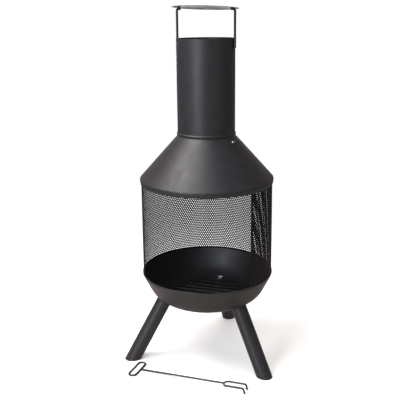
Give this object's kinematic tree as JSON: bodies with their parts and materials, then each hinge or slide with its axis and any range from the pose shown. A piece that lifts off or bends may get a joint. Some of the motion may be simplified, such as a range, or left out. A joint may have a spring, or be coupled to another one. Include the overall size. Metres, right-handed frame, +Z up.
{
  "type": "chiminea",
  "caption": "Black steel chiminea: fire bowl on splayed tube legs, perforated screen with an open front, conical hood, flue pipe with a rain cap, loose grate and poker.",
  "frame": {"origin": "on the ground under the middle of the fire bowl", "axes": "+Z up, along the bowl's and the flue's axis; the open front faces -Y; +X to the right seen from the front"},
  "size_m": [0.4321, 0.4701, 0.9819],
  "materials": {
    "black_paint": "satin heat-resistant paint",
    "screen_paint": "satin paint on perforated sheet",
    "wire_paint": "satin paint on round wire",
    "grate_paint": "matt heat-resistant paint",
    "zinc": "bright zinc plate",
    "foot_plastic": "moulded matt plastic"
  },
  "bodies": {
    "stove": {"fire_bowl": "black_paint", "mesh_screen": "screen_paint", "hood": "black_paint", "chimney_pipe": "black_paint", "flue_tabs": "black_paint", "flue_screws": "zinc", "flue_nuts": "zinc", "rain_cap": "black_paint", "cap_rod_left": "wire_paint", "cap_rod_right": "wire_paint", "leg_front_left": "black_paint", "foot_cap_front_left": "foot_plastic", "leg_plate_front_left": "black_paint", "leg_stud_front_left": "zinc", "washer_front_left": "zinc", "wing_nut_front_left": "zinc", "leg_front_right": "black_paint", "foot_cap_front_right": "foot_plastic", "leg_plate_front_right": "black_paint", "leg_stud_front_right": "zinc", "washer_front_right": "zinc", "wing_nut_front_right": "zinc", "leg_rear": "black_paint", "foot_cap_rear": "foot_plastic", "leg_plate_rear": "black_paint", "leg_stud_rear": "zinc", "washer_rear": "zinc", "wing_nut_rear": "zinc"},
    "grate": {"fire_grate": "grate_paint"},
    "poker": {"poker_shaft": "wire_paint", "poker_handle": "wire_paint", "poker_fork": "wire_paint"}
  },
  "joints": [
    {"name": "grate_lift", "type": "slide", "parent": "stove", "child": "grate", "axis": [0, 0, 1], "range_m": [0, 0.12]},
    {"name": "poker_lift", "type": "slide", "parent": "stove", "child": "poker", "axis": [0, 0, 1], "range_m": [0, 0.1]}
  ]
}
